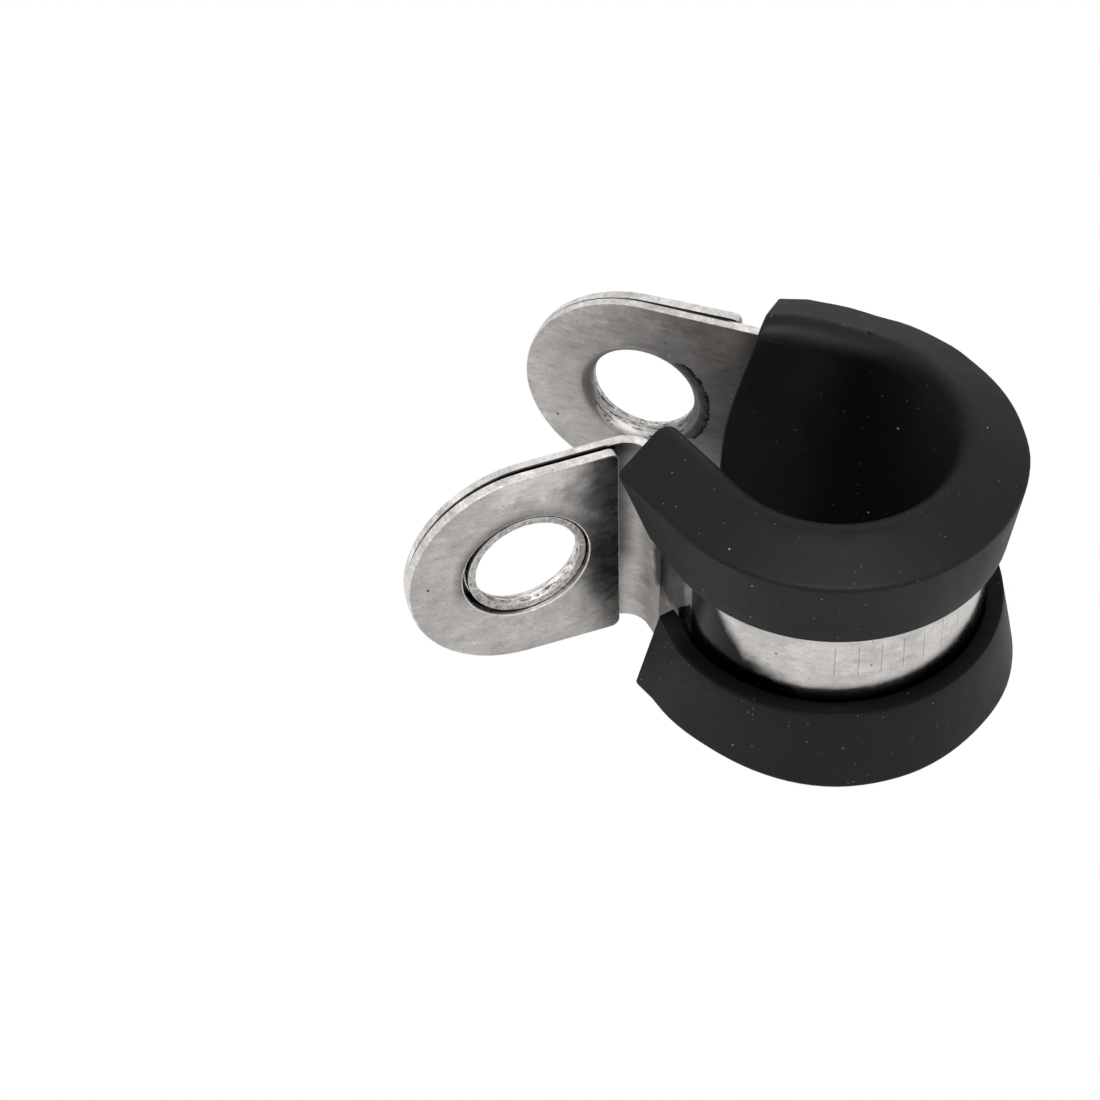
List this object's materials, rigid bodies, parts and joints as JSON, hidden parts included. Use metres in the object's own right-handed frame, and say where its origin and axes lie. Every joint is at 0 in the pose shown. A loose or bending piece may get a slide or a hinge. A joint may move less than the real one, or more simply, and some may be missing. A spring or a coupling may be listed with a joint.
{
  "type": "one-hole pipe strap",
  "caption": "Rubber-lined P-clip: a bent steel strip with a black rubber channel round its loop and a stiffened screw ear on each end, for holding a pipe or cable.",
  "frame": {"origin": "on the axis of the pipe bore, at the middle of the strap's width", "axes": "+Z along the pipe bore, +X from the ears' side of the loop to its round end, +Y towards the rear leg"},
  "size_m": [0.0295, 0.0214, 0.016],
  "materials": {
    "strap_steel": "worn satin",
    "plate_steel": "worn satin",
    "liner_rubber": "matt with dust"
  },
  "bodies": {
    "root": {"strap_band": "strap_steel", "front_plate": "plate_steel", "rear_plate": "plate_steel", "rubber_liner": "liner_rubber"}
  },
  "joints": []
}
